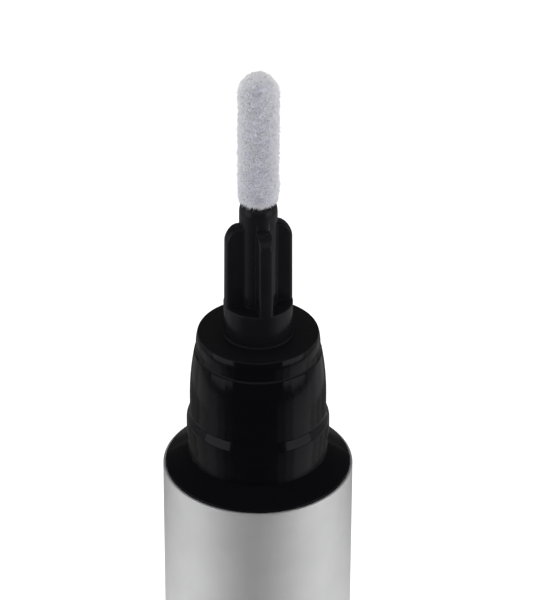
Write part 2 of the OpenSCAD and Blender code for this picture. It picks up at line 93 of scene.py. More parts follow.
# Neck from its flange upwards
FLANGE_T = 0.4
FLANGE_SINK = 0.3
FLANGE_FOOT_R = 0.04
FLANGE_EDGE_R = 0.06
SHOULDER_RISE = 0.97
CAP_SEAT_R = 4.42
CAP_SEAT_H = 1.35
BEAD_R = 4.49
BEAD_LOWER_H = 0.03
BEAD_FLAT_H = 0.88
BEAD_UPPER_H = 0.8
SIDE_R = 4.28
SIDE_H = 0.85
CREASE_R = 3.98
CREASE_STEP = 0.02
FLARE_H = 0.11
RIM_R = 3.88
RIM_H = 1.29
RIM_FOOT_R = 0.1
RIM_ROUND_W = 0.18
RIM_ROUND_H = 1.0
FLANGE_Z0 = barrel_high.z - FLANGE_SINK
SHOULDER_Z = FLANGE_Z0 + FLANGE_T
RIM_Z0 = NECK_TOP_Z - RIM_H
CREASE_Z = RIM_Z0 - FLARE_H

# Nozzle
NOZZLE_R = 2.15
NOZZLE_LIP_R = nozzle_high.x
NOZZLE_LIP_T = 1.2
NOZZLE_LIP_Z1 = nozzle_low.z + NOZZLE_LIP_T
NOZZLE_FEED_R = 0.45
NOZZLE_EDGE_R = 0.05
NOZZLE_BASE_H = 2.25
BASE_EDGE_R = 0.1
STEM_HOLE_R = 0.75
FOOT_RING_W = 0.06
FOOT_RING_H = 0.1
FOOT_RING_GAP = 0.003
TIP_TUBE_R = 1.18
TIP_TUBE_ROUND_W = 0.3
TIP_TUBE_ROUND_H = 0.7
TIP_RECESS = 0.25

# Fins of the nozzle, with the largest shares of a fin's depth that its roundings may take
FIN_COUNT = 4
FIN_TURN = math.radians(15)
FIN_R = 2.13
FIN_H = 5.55
FIN_DRAFT = 0.03
FIN_HALF_T = 0.45
FIN_CORNER_R = 1.1
FIN_EDGE_R = 0.25
FIN_EDGE_SHARE = 0.3
FIN_TOP_MARGIN = 0.02
ROOT_FILLET = 0.05
ROOT_FILLET_SHARE = 0.35
POCKET_FILLET = 0.05
FIN_Z0 = NECK_TOP_Z + NOZZLE_BASE_H
FIN_Z1 = FIN_Z0 + FIN_H

# Flocked tip
FLOCK_BASE_R = 1.07
SEED = 11
FIBRE_COUNT = 34000
FIBRE_R = 0.02
FIBRE_ROOT_R = 1.02
FIBRE_L = 0.265
FIBRE_L_SCATTER = 0.012
FIBRE_L_LUMPS = 0.012
LUMPS_PER_MM = 1.1

# Lean of the flock's fibres, as shares of their length
LEAN = 0.8
CLUMP_SEED = 1
CLUMP_LEAN = 0.35
CLUMPS_PER_MM = 3.2
TUFT_LEAN = 0.65
TUFTS_PER_MM = 8.0
TUFT_SHIFT = Vector((7, 3, 5))
LOOSE_LEAN = 0.15

# Drooping fibres at the flock's foot, and the loose ones that fray below it
DROOP_H = 0.5
DROOP_LEAN = 0.9
DROOP_SHORTENING = 0.07
FRAY_COUNT = 1200
FRAY_RISE = 0.06
FRAY_RISE_SPREAD = 0.2
FRAY_DROP = 0.08
FRAY_DROP_SPREAD = 0.3
FRAY_REACH = 0.19
FRAY_REACH_LOSS = 0.1
FRAY_SCATTER = 0.05

# Mesh fineness
SEGMENTS = 192
CORNER_STEPS = 6
DOME_STEPS = 16
FIN_FACE_STEPS = 6
FIN_SIDE_STEPS = 4
FIN_POCKET_STEPS = 8
FIN_RISE_STEPS = 8
FIN_TOP_STEPS = 24
SHARP_ANGLE = math.radians(32)
SMALLEST_R = 1e-6
MERGE_DISTANCE_M = 1e-7
SMALLEST_EDGE_M = 1e-8


def new_mesh(name, points, faces):
    """Mesh through points in millimetres."""
    mesh = bpy.data.meshes.new(name)
    mesh.from_pydata([tuple(c * MM for c in p) for p in points], [], faces)
    return mesh


def add_object(name, data):
    added = bpy.data.objects.new(name, data)
    bpy.context.scene.collection.objects.link(added)
    return added


def solid_object(name, points, faces):
    """Closed, smooth-shaded object through points in millimetres."""
    mesh = new_mesh(name, points, faces)
    work = bmesh.new()
    work.from_mesh(mesh)
    bmesh.ops.remove_doubles(work, verts=work.verts, dist=MERGE_DISTANCE_M)
    bmesh.ops.dissolve_degenerate(work, edges=work.edges, dist=SMALLEST_EDGE_M)
    bmesh.ops.recalc_face_normals(work, faces=work.faces)
    work.to_mesh(mesh)
    work.free()
    mesh.shade_smooth()
    mesh.set_sharp_from_angle(angle=SHARP_ANGLE)
    piece = add_object(name, mesh)
    normals = piece.modifiers.new("Flat faces stay flat", "WEIGHTED_NORMAL")
    normals.keep_sharp = True
    return piece


def bridge(low, high):
    """Faces between two rings of vertex numbers, either of which may be a single vertex."""
    count = max(len(low), len(high))
    faces = []
    for i in range(count):
        j = (i + 1) % count
        if len(low) == 1:
            faces.append((low[0], high[j], high[i]))
        elif len(high) == 1:
            faces.append((low[i], low[j], high[0]))
        else:
            faces.append((low[i], low[j], high[j], high[i]))
    return faces


def loft(name, rings, closed):
    """Object through a stack of rings of points, joined end to start where it is closed."""
    points = []
    numbers = []
    for ring in rings:
        numbers.append(list(range(len(points), len(points) + len(ring))))
        points += ring
    following = numbers[1:] + numbers[:1] if closed else numbers[1:]
    faces = [f for low, high in zip(numbers, following) for f in bridge(low, high)]
    return solid_object(name, points, faces)


def even_angles(count):
    return [TAU * i / count for i in range(count)]


def circle(r, z, angles):
    """Ring of points around the pen's axis, or one point where it has no radius."""
    if r < SMALLEST_R:
        return [(0.0, 0.0, z)]
    return [(r * math.cos(a), r * math.sin(a), z) for a in angles]


def lathe(name, profile, closed=True):
    """Turned object from a profile of radius and height."""
    angles = even_angles(SEGMENTS)
    return loft(name, [circle(r, z, angles) for r, z in profile], closed)


def rounded(corners):
    """Profile through corners of radius, height and fillet."""
    profile = []
    for i, (r, z, fillet) in enumerate(corners):
        here = Vector((r, z))
        if not fillet:
            profile.append((r, z))
            continue
        back = (Vector(corners[i - 1][:2]) - here).normalized()
        ahead = (Vector(corners[(i + 1) % len(corners)][:2]) - here).normalized()
        half = back.angle(ahead) / 2
        centre = here + (back + ahead).normalized() * fillet / math.sin(half)
        start = here + back * fillet / math.tan(half) - centre
        end = here + ahead * fillet / math.tan(half) - centre
        turn = math.pi - 2 * half
        for k in range(CORNER_STEPS + 1):
            t = k / CORNER_STEPS
            spoke = start * math.sin((1 - t) * turn) + end * math.sin(t * turn)
            profile.append(tuple(centre + spoke / math.sin(turn)))
    return profile


def arc(x, y, r, from_a, to_a, steps):
    """Points of an arc around a centre, with both of its ends."""
    angles = [from_a + (to_a - from_a) * i / steps for i in range(steps + 1)]
    return [(x + r * math.cos(a), y + r * math.sin(a)) for a in angles]


def ramp(start, end, steps=10):
    """Corners of a smooth ramp between two places on a profile."""
    corners = []
    for i in range(steps + 1):
        t = i / steps
        s = (1 - math.cos(math.pi * t)) / 2
        corners.append((start[0] + (end[0] - start[0]) * s, start[1] + (end[1] - start[1]) * t, 0))
    return corners


def bow(start, end, steps=20):
    """Corners of a bowed side that is upright at its start and leans in towards its end."""
    inward = start[0] - end[0]
    rise = end[1] - start[1]
    bow_r = (inward ** 2 + rise ** 2) / (2 * inward)
    side = arc(start[0] - bow_r, start[1], bow_r, 0, math.asin(rise / bow_r), steps)
    return [(r, z, 0) for r, z in side]


def quarter_oval(r, z, w, h, steps=12):
    """Corners of an edge that rounds over, from upright at radius r to level at height z."""
    quarter = arc(0, 0, 1, 0, math.pi / 2, steps)
    return [(r - w * (1 - across), z - h * (1 - up), 0) for across, up in quarter]


def barrel_tube():
    bore_r = BARREL_R - TUBE_WALL
    rebate_r = neck_high.x + FIT
    return lathe("barrel_tube", rounded([
        (bore_r, barrel_low.z, 0),
        (BARREL_R, barrel_low.z, TUBE_EDGE_R),
        (BARREL_R, barrel_high.z, MOUTH_EDGE_R),
        (rebate_r, barrel_high.z, MOUTH_INNER_EDGE_R),
        (rebate_r, FLANGE_Z0, 0),
        (bore_r, FLANGE_Z0, 0),
    ]))


def knob_cup():
    bore_r = BARREL_R - TUBE_WALL
    floor_z = knob_low.z + TUBE_WALL
    return lathe("knob_cup", rounded([
        (0, knob_low.z, 0),
        (BARREL_R, knob_low.z, KNOB_EDGE_R),
        (BARREL_R, knob_high.z, TUBE_EDGE_R),
        (bore_r, knob_high.z, 0),
        (bore_r, floor_z, KNOB_EDGE_R - TUBE_WALL),
        (0, floor_z, 0),
    ]), closed=False)


def neck_moulding():
    seal_z = neck_low.z + PLUG_L / 2
    groove_r = PLUG_R - SEAL_GROOVE_DEPTH
    cavity_r = NOZZLE_LIP_R + FIT
    hole_r = NOZZLE_R + FIT
    seat_z0 = SHOULDER_Z + SHOULDER_RISE
    bead_z0 = seat_z0 + CAP_SEAT_H
    bead_flat_z0 = bead_z0 + BEAD_LOWER_H
    bead_flat_z1 = bead_flat_z0 + BEAD_FLAT_H
    bead_z1 = bead_flat_z1 + BEAD_UPPER_H
    hidden = [
        (cavity_r, neck_low.z, CAVITY_EDGE_R),
        (PLUG_R, neck_low.z, PLUG_EDGE_R),
        (PLUG_R, seal_z - SEAL_GROOVE_HALF_H, 0),
        (groove_r, seal_z - SEAL_GROOVE_HALF_H, 0),
        (groove_r, seal_z + SEAL_GROOVE_HALF_H, 0),
        (PLUG_R, seal_z + SEAL_GROOVE_HALF_H, 0),
        (PLUG_R, reservoir_high.z, 0),
        (SEAT_R, reservoir_high.z, 0),
        (SEAT_R, FLANGE_Z0, 0),
    ]
    flange = [
        (neck_high.x, FLANGE_Z0, FLANGE_FOOT_R),
        (neck_high.x, SHOULDER_Z, FLANGE_EDGE_R),
        (CAP_SEAT_R, seat_z0, 0),
    ]
    side = (
        [(CAP_SEAT_R, bead_z0, 0), (BEAD_R, bead_flat_z0, 0)]
        + ramp((BEAD_R, bead_flat_z1), (SIDE_R, bead_z1))
        + bow((SIDE_R, bead_z1 + SIDE_H), (CREASE_R, CREASE_Z))
    )
    rim = [(CREASE_R - CREASE_STEP, CREASE_Z, 0), (RIM_R, RIM_Z0, RIM_FOOT_R)]
    rim += quarter_oval(RIM_R, NECK_TOP_Z, RIM_ROUND_W, RIM_ROUND_H)
    hole = [
        (hole_r + FOOT_RING_W, NECK_TOP_Z, 0),
        (NOZZLE_R + FOOT_RING_GAP, NECK_TOP_Z + FOOT_RING_H, 0),
        (hole_r, NECK_TOP_Z, 0),
        (hole_r, NOZZLE_LIP_Z1, 0),
        (cavity_r, NOZZLE_LIP_Z1, 0),
    ]
    return lathe("neck_moulding", rounded(hidden + flange + side + rim + hole))


def fin_outline(fin_r, half_t, tube_r, z):
    """Ring of points around the centre tube and its fins, at one height."""
    depth = fin_r - tube_r
    root = min(ROOT_FILLET, ROOT_FILLET_SHARE * depth)
    edge = min(FIN_EDGE_R, FIN_EDGE_SHARE * depth)
    root_x = math.sqrt((tube_r + root) ** 2 - (half_t + root) ** 2)
    edge_x = math.sqrt((fin_r - edge) ** 2 - (half_t - edge) ** 2)
    root_a = math.atan2(half_t + root, root_x)
    edge_a = math.atan2(half_t - edge, edge_x)
    half = arc(0, 0, fin_r, 0, edge_a, FIN_FACE_STEPS)[:-1]
    half += arc(edge_x, half_t - edge, edge, edge_a, math.pi / 2, CORNER_STEPS)
    for i in range(1, FIN_SIDE_STEPS):
        half.append((edge_x + (root_x - edge_x) * i / FIN_SIDE_STEPS, half_t))
    half += arc(root_x, half_t + root, root, -math.pi / 2, root_a - math.pi, CORNER_STEPS)
    half += arc(0, 0, tube_r, root_a, math.pi / FIN_COUNT, FIN_POCKET_STEPS)[1:]
    whole = [(x, -y) for x, y in reversed(half[1:-1])] + half
    ring = []
    for turn in even_angles(FIN_COUNT):
        c = math.cos(FIN_TURN + turn)
        s = math.sin(FIN_TURN + turn)
        ring += [(x * c - y * s, x * s + y * c, z) for x, y in whole]
    return ring


def fin_rings():
    """Rings up the fins: the fillet at their foot, their drafted sides and their round top corners."""
    side_z = FIN_Z0 + POCKET_FILLET
    corner_z = FIN_Z1 - FIN_CORNER_R
    rings = []
    for i in range(CORNER_STEPS + 1):
        a = math.pi / 2 * i / CORNER_STEPS
        spread = POCKET_FILLET * (1 - math.sin(a))
        z = FIN_Z0 + POCKET_FILLET * (1 - math.cos(a))
        rings.append(fin_outline(FIN_R, FIN_HALF_T + spread, TIP_TUBE_R + spread, z))
    for i in range(1, FIN_RISE_STEPS + 1):
        t = i / FIN_RISE_STEPS
        z = side_z + (corner_z - side_z) * t
        rings.append(fin_outline(FIN_R - FIN_DRAFT * t, FIN_HALF_T, TIP_TUBE_R, z))
    top_r = FIN_R - FIN_DRAFT
    reach_in = top_r - TIP_TUBE_R - FIN_TOP_MARGIN
    last_a = math.acos(1 - reach_in / FIN_CORNER_R)
    edge_z = corner_z + FIN_CORNER_R * math.sin(last_a) - FIN_EDGE_R
    for i in range(1, FIN_TOP_STEPS + 1):
        a = last_a * i / FIN_TOP_STEPS
        z = corner_z + FIN_CORNER_R * math.sin(a)
        r = top_r - FIN_CORNER_R * (1 - math.cos(a))
        over = max(0.0, z - edge_z)
        half_t = FIN_HALF_T - FIN_EDGE_R + math.sqrt(max(0.0, FIN_EDGE_R ** 2 - over ** 2))
        rings.append(fin_outline(r, half_t, TIP_TUBE_R, z))
    return rings


def nozzle_moulding():
    outline = fin_outline(FIN_R, FIN_HALF_T, TIP_TUBE_R, 0)
    angles = [math.atan2(y, x) for x, y, _ in outline]
    reaches = [math.hypot(x, y) for x, y, _ in outline]

    def turned(corners):
        """Round rings with as many points as the fins' rings; the first and last corner aren't drawn."""
        return [circle(r, z, angles) for r, z in rounded(corners)[1:-1]]

    def fin_foot(ring):
        """A ring of the base's rounded edge, kept out as far as the fins that stand on it."""
        spots = []
        for (x, y, z), a, reach in zip(ring, angles, reaches):
            r = max(math.hypot(x, y), reach)
            spots.append((r * math.cos(a), r * math.sin(a), z))
        return spots

    base = turned([
        (STEM_HOLE_R, core_low.z, 0),
        (NOZZLE_FEED_R, core_low.z, 0),
        (NOZZLE_FEED_R, nozzle_low.z, NOZZLE_EDGE_R),
        (NOZZLE_LIP_R, nozzle_low.z, NOZZLE_EDGE_R),
        (NOZZLE_LIP_R, NOZZLE_LIP_Z1, 0),
        (NOZZLE_R, NOZZLE_LIP_Z1, 0),
        (NOZZLE_R, FIN_Z0, BASE_EDGE_R),
        (TIP_TUBE_R, FIN_Z0, 0),
    ])
    edge_rings = CORNER_STEPS + 1
    base = base[:-edge_rings] + [fin_foot(ring) for ring in base[-edge_rings:]]
    shoulder = quarter_oval(TIP_TUBE_R, TIP_Z0 - TIP_RECESS, TIP_TUBE_ROUND_W, TIP_TUBE_ROUND_H)
    tube = turned([(TIP_TUBE_R, FIN_Z0, 0), (TIP_TUBE_R, FIN_Z1, 0)] + shoulder + [
        (TIP_TUBE_R - TIP_TUBE_ROUND_W, TIP_Z0, 0),
        (STEM_HOLE_R, TIP_Z0, NOZZLE_EDGE_R),
        (STEM_HOLE_R, core_low.z, 0),
        (NOZZLE_FEED_R, core_low.z, 0),
    ])
    return loft("nozzle_moulding", base + fin_rings() + tube, closed=True)


def flock_base():
    inner_r = core_high.x + FIT
    outer = arc(0, DOME_Z, FLOCK_BASE_R, 0, math.pi / 2, DOME_STEPS)
    inner = arc(0, DOME_Z, inner_r, math.pi / 2, 0, DOME_STEPS)
    return lathe("flock_base", [(inner_r, TIP_Z0), (FLOCK_BASE_R, TIP_Z0)] + outer + inner)


def fibre_roots(rng):
    """Places and outward directions of the upright fibres."""
    straight = DOME_Z - TIP_Z0
    dome_share = TIP_R / (straight + TIP_R)
    around = rng.random(FIBRE_COUNT) * TAU
    along = rng.random(FIBRE_COUNT)
    on_dome = along > 1 - dome_share
    rise = np.where(on_dome, (along - 1 + dome_share) / dome_share, 0)
    level = np.sqrt(1 - rise ** 2)
    out = np.stack([level * np.cos(around), level * np.sin(around), rise], 1)
    root = FIBRE_ROOT_R * out
    root[:, 2] += np.where(on_dome, DOME_Z, TIP_Z0 + straight * along / (1 - dome_share))
    return root, out


def fibre_lean(root, rng):
    """Sideways lean of each fibre: clumps that lean together, and each fibre's own scatter."""
    noise.seed_set(CLUMP_SEED)
    clump = np.array([noise.noise_vector(Vector(p) * CLUMPS_PER_MM) for p in root])
    tuft = np.array([noise.noise_vector(Vector(p) * TUFTS_PER_MM + TUFT_SHIFT) for p in root])
    return CLUMP_LEAN * clump + TUFT_LEAN * tuft + LOOSE_LEAN * rng.normal(size=root.shape)


def upright_fibres(rng):
    """Roots and tips of the fibres all over the tip, which droop and get shorter at its foot."""
    root, out = fibre_roots(rng)
    lean = fibre_lean(root, rng)
    droop = np.clip(1 - (root[:, 2] - TIP_Z0) / DROOP_H, 0, 1)
    lean[:, 2] -= DROOP_LEAN * droop ** 2
    lumps = np.array([noise.noise(Vector(p) * LUMPS_PER_MM) for p in root])
    scatter = rng.normal(size=FIBRE_COUNT)
    length = FIBRE_L + FIBRE_L_LUMPS * lumps + FIBRE_L_SCATTER * scatter - DROOP_SHORTENING * droop
    return root, root + (out + LEAN * lean) * length[:, None]


def frayed_fibres(rng):
    """Roots and tips of the loose fibres around the tip's foot, which hang down over the nozzle's tube."""
    around = rng.random(FRAY_COUNT) * TAU
    spoke = np.stack([np.cos(around), np.sin(around), np.zeros(FRAY_COUNT)], 1)
    drop = FRAY_DROP + FRAY_DROP_SPREAD * rng.random(FRAY_COUNT) ** 2
    root = FIBRE_ROOT_R * spoke
    root[:, 2] += TIP_Z0 + FRAY_RISE + FRAY_RISE_SPREAD * rng.random(FRAY_COUNT)
    scatter = FRAY_SCATTER * rng.normal(size=(FRAY_COUNT, 3))
    tip = root + (FRAY_REACH - FRAY_REACH_LOSS * drop)[:, None] * spoke + scatter
    tip[:, 2] -= drop
    return root, tip


def flock_fibres():
    """All the fibres as one object, each of them a thin three-sided spike."""
    rng = np.random.default_rng(SEED)
    upright = upright_fibres(rng)
    frayed = frayed_fibres(rng)
    root, tip = [np.concatenate(ends) for ends in zip(upright, frayed)]
    along = tip - root
    along /= np.linalg.norm(along, axis=1)[:, None]
    side = np.cross(along, rng.normal(size=along.shape))
    side /= np.linalg.norm(side, axis=1)[:, None]
    other = np.cross(along, side)
    corners = [root + FIBRE_R * (math.cos(a) * side + math.sin(a) * other) for a in even_angles(3)]
    points = np.stack(corners + [tip], 1).reshape(-1, 3)
    faces = []
    for a in range(0, len(points), 4):
        b, c, t = a + 1, a + 2, a + 3
        faces += [(a, c, b), (a, b, t), (b, c, t), (c, a, t)]
    mesh = new_mesh("flock_fibres", points.tolist(), faces)
    mesh.shade_smooth()
    return add_object("flock_fibres", mesh)


# Gloss of the black plastic, and the depths below the neck's top where its matt face, painted paler partly
# as painted light, starts and is full
BLUISH = (0.92, 0.9, 1.0, 1.0)
RUB_ROUGHNESS = 0.06
SCUFF_ROUGHNESS = 0.1
MATT_START = 0.04
MATT_FULL = 0.01


class Surface:
    """A node material around one principled shader, with object coordinates in metres."""

    def __init__(self, name, **inputs):
        self.material = bpy.data.materials.new(name)
        self.material.use_nodes = True
        self.tree = self.material.node_tree
        self.shader = self.tree.nodes["Principled BSDF"]
        for key, value in inputs.items():
            self.shader.inputs[key.replace("_", " ")].default_value = value
        self.coordinates = self.node("ShaderNodeTexCoord").outputs["Object"]

    def node(self, kind):
        return self.tree.nodes.new(kind)

    def link(self, output, target):
        self.tree.links.new(output, target)

    def noise(self, size, detail=3.0, stretch=(1, 1, 1)):
        """Noise whose features are about size millimetres across."""
        place = self.node("ShaderNodeMapping")
        place.inputs["Scale"].default_value = [s / (size * MM) for s in stretch]
        self.link(self.coordinates, place.inputs["Vector"])
        made = self.node("ShaderNodeTexNoise")
        made.inputs["Scale"].default_value = 1.0
        made.inputs["Detail"].default_value = detail
        self.link(place.outputs["Vector"], made.inputs["Vector"])
        return made.outputs["Fac"]

    def spread(self, factor, low, high, start=0.3, end=0.7):
        """A factor spread between two values."""
        made = self.node("ShaderNodeMapRange")
        made.inputs["From Min"].default_value = start
        made.inputs["From Max"].default_value = end
        made.inputs["To Min"].default_value = low
        made.inputs["To Max"].default_value = high
        self.link(factor, made.inputs["Value"])
        return made.outputs["Result"]

    def rise(self, z0, z1):
        """0 below one height in millimetres, 1 above another and even in between."""
        split = self.node("ShaderNodeSeparateXYZ")
        self.link(self.coordinates, split.inputs["Vector"])
        return self.spread(split.outputs["Z"], low=0, high=1, start=z0 * MM, end=z1 * MM)

    def mix(self, first, second):
        """Mix node between two values, half and half until its factor is linked."""
        made = self.node("ShaderNodeMix")
        made.inputs["Factor"].default_value = 0.5
        self.link(first, made.inputs["A"])
        self.link(second, made.inputs["B"])
        return made

    def colours(self, factor, stops):
        """Base colour from a factor, between two stops of position and colour."""
        made = self.node("ShaderNodeValToRGB")
        for element, (position, colour) in zip(made.color_ramp.elements, stops):
            element.position = position
            element.color = (*colour, 1)
        self.link(factor, made.inputs["Fac"])
        self.link(made.outputs["Color"], self.shader.inputs["Base Color"])

    def roughness(self, factor, low, high):
        self.link(self.spread(factor, low, high), self.shader.inputs["Roughness"])

    def bump(self, layers):
        """Bumps from pairs of a height factor and a depth in millimetres."""
        normal = None
        for height, depth in layers:
            made = self.node("ShaderNodeBump")
            made.inputs["Strength"].default_value = 1.0
            made.inputs["Distance"].default_value = depth * MM
            self.link(height, made.inputs["Height"])
            if normal:
                self.link(normal, made.inputs["Normal"])
            normal = made.outputs["Normal"]
        self.link(normal, self.shader.inputs["Normal"])


def satin_aluminium():
    """Satin anodised tube: fine blasted grain, and faint drawing lines along the axis."""
    s = Surface("satin_aluminium", Metallic=0.92)
    grain = s.noise(size=0.07, detail=4)
    lines = s.noise(size=0.25, stretch=(1, 1, 0.02))
    patches = s.noise(size=2.2, detail=4)
    s.colours(patches, [(0.3, (0.895, 0.896, 0.902)), (0.7, (0.945, 0.946, 0.95))])
    s.roughness(lines, low=0.44, high=0.5)
    s.bump([(grain, 0.0012), (lines, 0.0008)])
    return s.material


def black_surface(name):
    """Black moulded plastic with a slightly blue gloss and slow waviness, and its faint rubbing marks."""
    s = Surface(name, IOR=1.45, Specular_IOR_Level=0.25, Specular_Tint=BLUISH)
    waves = s.noise(size=1.4, detail=1)
    skin = s.noise(size=0.12, detail=2)
    rubs = s.noise(size=0.5, detail=6, stretch=(1, 2.5, 1))
    s.bump([(waves, 0.0025), (skin, 0.0002)])
    return s, rubs


def satin_black_plastic(rough, tone):
    """Black plastic of uneven tone and gloss."""
    s, rubs = black_surface("satin_black")
    deep = (0.85 * tone, 0.85 * tone, 1.05 * tone)
    pale = (1.15 * tone, 1.15 * tone, 1.4 * tone)
    s.colours(s.noise(size=3.0), [(0.3, deep), (0.7, pale)])
    s.roughness(rubs, low=rough, high=rough + RUB_ROUGHNESS)
    return s.material


def neck_black_plastic(rough, tone, top_rough, top_tone_with_painted_light):
    """Black plastic of the neck, whose flat top face is matt, lightly scuffed and paler: partly from the
    scuffing, partly painted light falling on the top face.
    """
    s, rubs = black_surface("neck_black")
    top = s.rise(NECK_TOP_Z - MATT_START, NECK_TOP_Z - MATT_FULL)
    gloss_colour = (0.97 * tone, 0.97 * tone, 1.2 * tone)
    # Painted light, in part: the top face's paler colour stands for light falling on it as well as for its
    # scuffed finish
    matt_colour_with_painted_light = (top_tone_with_painted_light, top_tone_with_painted_light, 1.2 * top_tone_with_painted_light)
    s.colours(top, [(0.0, gloss_colour), (1.0, matt_colour_with_painted_light)])
    polish = s.mix(
        s.spread(rubs, low=rough, high=rough + RUB_ROUGHNESS),
        s.spread(rubs, low=top_rough, high=top_rough + SCUFF_ROUGHNESS),
    )
    s.link(top, polish.inputs["Factor"])
    s.link(polish.outputs["Result"], s.shader.inputs["Roughness"])
    return s.material


def flock_nylon(name, dark, light):
    """Soft nylon fibres of slightly different greys, with painted shade that makes them a little darker
    towards the tip's foot.
    """
    s = Surface(name, Roughness=0.75, Sheen_Weight=0.35, Sheen_Roughness=0.5)
    blotches = s.spread(s.noise(size=0.24, detail=2), low=0, high=1, start=0.36, end=0.64)
    # Painted shade: random blotches mixed with a ramp that darkens the colour down towards the tip's foot
    blotches_and_painted_shade = s.mix(blotches, s.rise(TIP_Z0, TIP_Z1))
    s.colours(blotches_and_painted_shade.outputs["Result"], [(0.0, dark), (1.0, light)])
    return s.material


def moulded(name, colour, rough=0.45, **inputs):
    """Matt moulded plastic or rubber with slight mottling and a fine skin."""
    s = Surface(name, **inputs)
    pale = [min(1.0, c * 1.06) for c in colour]
    deep = [c * 0.92 for c in colour]
    s.colours(s.noise(size=1.2), [(0.3, deep), (0.7, pale)])
    s.roughness(s.noise(size=0.4), low=rough - 0.06, high=rough + 0.06)
    s.bump([(s.noise(size=0.15), 0.001)])
    return s.material


def spring_steel():
    """Drawn spring wire with lines around the ring."""
    s = Surface("spring_steel", Metallic=1.0)
    lines = s.noise(size=0.1, stretch=(0.2, 0.2, 3))
    s.colours(s.noise(size=0.8), [(0.3, (0.42, 0.42, 0.44)), (0.7, (0.52, 0.52, 0.54))])
    s.roughness(lines, low=0.22, high=0.36)
    return s.material


def dress(piece, material):
    piece.data.materials.clear()
    piece.data.materials.append(material)


# Pieces that are modelled here: body that they ride on, node that they stand for, material and slot
aluminium = satin_aluminium()
# The neck's top face is painted paler, partly as painted light on it
gloss_black = neck_black_plastic(rough=0.1, tone=0.0026, top_rough=0.5, top_tone_with_painted_light=0.0045)
satin_black = satin_black_plastic(rough=0.2, tone=0.0066)
# Flock ground under the fibres: made darker than the fibres as painted shade that shows in the gaps
# between them
flock_ground_and_gap_shade = flock_nylon("flock_ground_and_gap_shade", dark=(0.49, 0.50, 0.60), light=(0.82, 0.83, 0.95))
flock_fibre = flock_nylon("flock_fibre", dark=(0.85, 0.85, 0.92), light=(0.985, 0.985, 1.0))
modelled = [
    (barrel_tube(), "barrel", "barrel", aluminium, "satin_aluminium"),
    (knob_cup(), "knob", "knob_shell", aluminium, "satin_aluminium"),
    (neck_moulding(), "barrel", "neck", gloss_black, "black_plastic"),
    (nozzle_moulding(), "barrel", "nozzle", satin_black, "black_plastic"),
    (flock_base(), "barrel", "flock_coat", flock_ground_and_gap_shade, "flock"),
    (flock_fibres(), "barrel", None, flock_fibre, "flock"),
]
for piece, body, node, material, slot in modelled:
    dress(piece, material)
    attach(piece, body)
    if node:
        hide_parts(node)

# CAD nodes that keep their own shape
white = moulded("white_plastic", (0.80, 0.80, 0.77), Subsurface_Weight=0.1)
grey = moulded("grey_plastic", (0.34, 0.35, 0.36))
nut_plastic = moulded("nut_plastic", (0.70, 0.48, 0.15))
clear = moulded("clear_plastic", (0.80, 0.86, 0.88), rough=0.2, Transmission_Weight=0.6)
rubber = moulded("seal_rubber", (0.03, 0.03, 0.03), rough=0.6)
finishes = {
    white: ["applicator_core", "nozzle_retainer", "screw_guide", "thrust_washer", "drive_tube",
            "piston_screw", "piston"],
    grey: ["mech_housing", "ratchet_ring", "rear_bush"],
    nut_plastic: ["drive_nut", "click_ring"],
    clear: ["reservoir"],
    rubber: ["neck_seal", "piston_seal"],
    spring_steel(): ["snap_ring"],
    satin_black: ["knob_core", "glide_washer"],
}
for material, nodes in finishes.items():
    for node in nodes:
        dress(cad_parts[node], material)

# Camera, from a fit to the rims in the 554 by 600 photograph
IMAGE_H = 600
FOCAL_PX = 3500
AXIS_SHIFT_PX = 18.8
SENSOR = 36.0
CLIP_START = 5
CAMERA_ELEVATION = math.radians(32.1)
CAMERA_ROLL = math.radians(0.1)
CAMERA_DISTANCE = 215.5
TARGET_RISE = 11.815
CAMERA_TARGET = Vector((0, 0, SHOULDER_Z + TARGET_RISE))


def add_camera():
    data = bpy.data.cameras.new("camera")
    data.sensor_width = SENSOR
    data.lens = SENSOR * FOCAL_PX / IMAGE_H
    data.shift_x = AXIS_SHIFT_PX / IMAGE_H
    data.clip_start = CLIP_START * MM
    camera = add_object("camera", data)
    back = Vector((0, -math.cos(CAMERA_ELEVATION), math.sin(CAMERA_ELEVATION)))
    camera.location = (CAMERA_TARGET + back * CAMERA_DISTANCE) * MM
    camera.rotation_euler = (math.pi / 2 - CAMERA_ELEVATION, 0, 0)
    camera.rotation_euler.rotate_axis("Z", CAMERA_ROLL)
    bpy.context.scene.camera = camera


# Stage: floor and soft light
FLOOR_R = 4000
FLOOR_SIDES = 64
FLOOR_TONE = 0.9
FLOOR_GLOW = 0.3
AMBIENT = 0.9
LAMP_AIM = Vector((0, 0, 95))
LAMP_W = 240
LAMP_H = 320
LAMP_RADIANCE = 1.2

# Stage: radius where each ring of floor cards starts, and heights where wall cards start or end
CARD_Z = 0.5
INNER_R = 7
FOOT_R = 60
NEAR_R = 119
MID_R = 165
BAND_R = 235
PATCH_R = 282
FAR_R = 335
TENT_R = 600
HORIZON_Z = 110
PANEL_Z = 260
SIDE_TOP_Z = 390
TENT_H = 700
CEILING_TONE = 0.05


def seen_rays(tree):
    """1 for what the camera sees, by itself, in gloss or through clear pieces, and 0 for other light."""
    path = tree.nodes.new("ShaderNodeLightPath")
    seen = path.outputs["Is Camera Ray"]
    for kind in ("Is Glossy Ray", "Is Transmission Ray"):
        either = tree.nodes.new("ShaderNodeMath")
        either.operation = "MAXIMUM"
        tree.links.new(seen, either.inputs[0])
        tree.links.new(path.outputs[kind], either.inputs[1])
        seen = either.outputs[0]
    return seen


